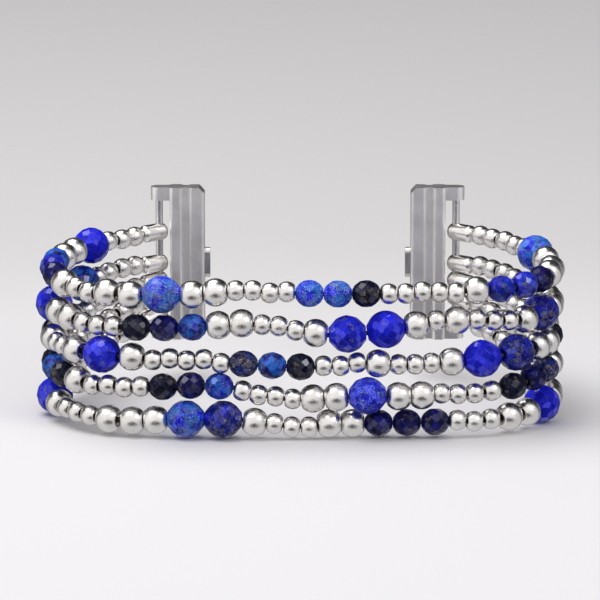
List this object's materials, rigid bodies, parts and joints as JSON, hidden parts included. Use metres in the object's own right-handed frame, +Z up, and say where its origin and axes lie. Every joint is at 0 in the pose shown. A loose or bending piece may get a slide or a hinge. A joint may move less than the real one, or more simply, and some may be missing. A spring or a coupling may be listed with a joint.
{
  "type": "stretch watch band",
  "caption": "Stretch watch band of five bead strands in steel and blue stone on elastic cords, with swivelling end links and sprung sliding lugs.",
  "frame": {"origin": "middle of the loop, on the surface that the band stands on", "axes": "+X to the right as the front is looked at, +Y from the front back to the watch lugs, +Z up along the bars"},
  "size_m": [0.0774, 0.0465, 0.0292],
  "materials": {
    "bead_steel": "satin, tumbled",
    "blue_stone": "polished facets, flecked with gold",
    "elastic_cord": "smooth",
    "link_steel": "polished",
    "lug_steel": "polished, with fine wear",
    "bar_steel": "ground",
    "latch_steel": "turned",
    "spring_wire": "drawn wire"
  },
  "bodies": {
    "centre": {"centre_small_steel_beads": "bead_steel", "centre_large_steel_beads": "bead_steel", "centre_small_stone_beads": "blue_stone", "centre_cords": "elastic_cord"},
    "left_front": {"left_front_small_steel_beads": "bead_steel", "left_front_large_steel_beads": "bead_steel", "left_front_small_stone_beads": "blue_stone", "left_front_large_stone_beads": "blue_stone", "left_front_cords": "elastic_cord"},
    "left_corner": {"left_corner_small_steel_beads": "bead_steel", "left_corner_large_steel_beads": "bead_steel", "left_corner_small_stone_beads": "blue_stone", "left_corner_large_stone_beads": "blue_stone", "left_corner_cords": "elastic_cord"},
    "left_side": {"left_side_small_steel_beads": "bead_steel", "left_side_large_steel_beads": "bead_steel", "left_side_small_stone_beads": "blue_stone", "left_side_large_stone_beads": "blue_stone", "left_side_cords": "elastic_cord"},
    "left_tail": {"left_tail_small_steel_beads": "bead_steel", "left_tail_cords": "elastic_cord", "left_end_link_1": "link_steel", "left_end_link_2": "link_steel", "left_end_link_3": "link_steel", "left_end_link_4": "link_steel", "left_end_link_5": "link_steel"},
    "left_lug": {"left_lug": "lug_steel", "left_bar": "bar_steel", "left_latch_retainer": "latch_steel", "left_latch_spring": "spring_wire"},
    "left_latch": {"left_latch_plunger": "latch_steel"},
    "right_front": {"right_front_small_steel_beads": "bead_steel", "right_front_large_steel_beads": "bead_steel", "right_front_small_stone_beads": "blue_stone", "right_front_large_stone_beads": "blue_stone", "right_front_cords": "elastic_cord"},
    "right_corner": {"right_corner_small_steel_beads": "bead_steel", "right_corner_large_steel_beads": "bead_steel", "right_corner_small_stone_beads": "blue_stone", "right_corner_large_stone_beads": "blue_stone", "right_corner_cords": "elastic_cord"},
    "right_side": {"right_side_small_steel_beads": "bead_steel", "right_side_large_steel_beads": "bead_steel", "right_side_small_stone_beads": "blue_stone", "right_side_large_stone_beads": "blue_stone", "right_side_cords": "elastic_cord"},
    "right_tail": {"right_tail_small_steel_beads": "bead_steel", "right_tail_cords": "elastic_cord", "right_end_link_1": "link_steel", "right_end_link_2": "link_steel", "right_end_link_3": "link_steel", "right_end_link_4": "link_steel", "right_end_link_5": "link_steel"},
    "right_lug": {"right_lug": "lug_steel", "right_bar": "bar_steel", "right_latch_retainer": "latch_steel", "right_latch_spring": "spring_wire"},
    "right_latch": {"right_latch_plunger": "latch_steel"}
  },
  "joints": [
    {"name": "left_front_stretch", "type": "slide", "parent": "centre", "child": "left_front", "axis": [-0.9992, 0.04, 0], "range_m": [0, 0.0024], "stiffness_N_per_m": 400},
    {"name": "left_corner_stretch", "type": "slide", "parent": "left_front", "child": "left_corner", "axis": [-0.994, 0.1098, 0], "range_m": [0, 0.0024], "stiffness_N_per_m": 400},
    {"name": "left_side_stretch", "type": "slide", "parent": "left_corner", "child": "left_side", "axis": [0, 1, 0], "range_m": [0, 0.0024], "stiffness_N_per_m": 400},
    {"name": "left_bend", "type": "hinge", "parent": "left_side", "child": "left_tail", "pos_m": [-0.02815, 0.01517, 0.02211], "axis": [0, 0, 1], "range_deg": [-9, 9]},
    {"name": "left_lug_swivel", "type": "hinge", "parent": "left_tail", "child": "left_lug", "pos_m": [-0.0216, 0.02125, 0.0175], "axis": [0, 0, 1], "range_deg": [-45, 60]},
    {"name": "left_latch_press", "type": "slide", "parent": "left_lug", "child": "left_latch", "axis": [-1, 0, 0], "range_m": [0, 0.0007], "stiffness_N_per_m": 600, "springref_m": -0.0005, "deforming": ["left_latch_spring"]},
    {"name": "right_front_stretch", "type": "slide", "parent": "centre", "child": "right_front", "axis": [0.9992, 0.04, 0], "range_m": [0, 0.0024], "stiffness_N_per_m": 400},
    {"name": "right_corner_stretch", "type": "slide", "parent": "right_front", "child": "right_corner", "axis": [0.994, 0.1098, 0], "range_m": [0, 0.0024], "stiffness_N_per_m": 400},
    {"name": "right_side_stretch", "type": "slide", "parent": "right_corner", "child": "right_side", "axis": [0, 1, 0], "range_m": [0, 0.0024], "stiffness_N_per_m": 400},
    {"name": "right_bend", "type": "hinge", "parent": "right_side", "child": "right_tail", "pos_m": [0.02972, 0.01495, 0.0221], "axis": [0, 0, 1], "range_deg": [-9, 9]},
    {"name": "right_lug_swivel", "type": "hinge", "parent": "right_tail", "child": "right_lug", "pos_m": [0.0234, 0.02125, 0.0175], "axis": [0, 0, 1], "range_deg": [-60, 45]},
    {"name": "right_latch_press", "type": "slide", "parent": "right_lug", "child": "right_latch", "axis": [1, 0, 0], "range_m": [0, 0.0007], "stiffness_N_per_m": 600, "springref_m": -0.0005, "deforming": ["right_latch_spring"]}
  ],
  "couplings": [
    {"joint": "left_corner_stretch", "follows": "left_front_stretch", "ratio": 1},
    {"joint": "left_side_stretch", "follows": "left_front_stretch", "ratio": 1},
    {"joint": "right_front_stretch", "follows": "left_front_stretch", "ratio": 1},
    {"joint": "right_corner_stretch", "follows": "left_front_stretch", "ratio": 1},
    {"joint": "right_side_stretch", "follows": "left_front_stretch", "ratio": 1}
  ]
}
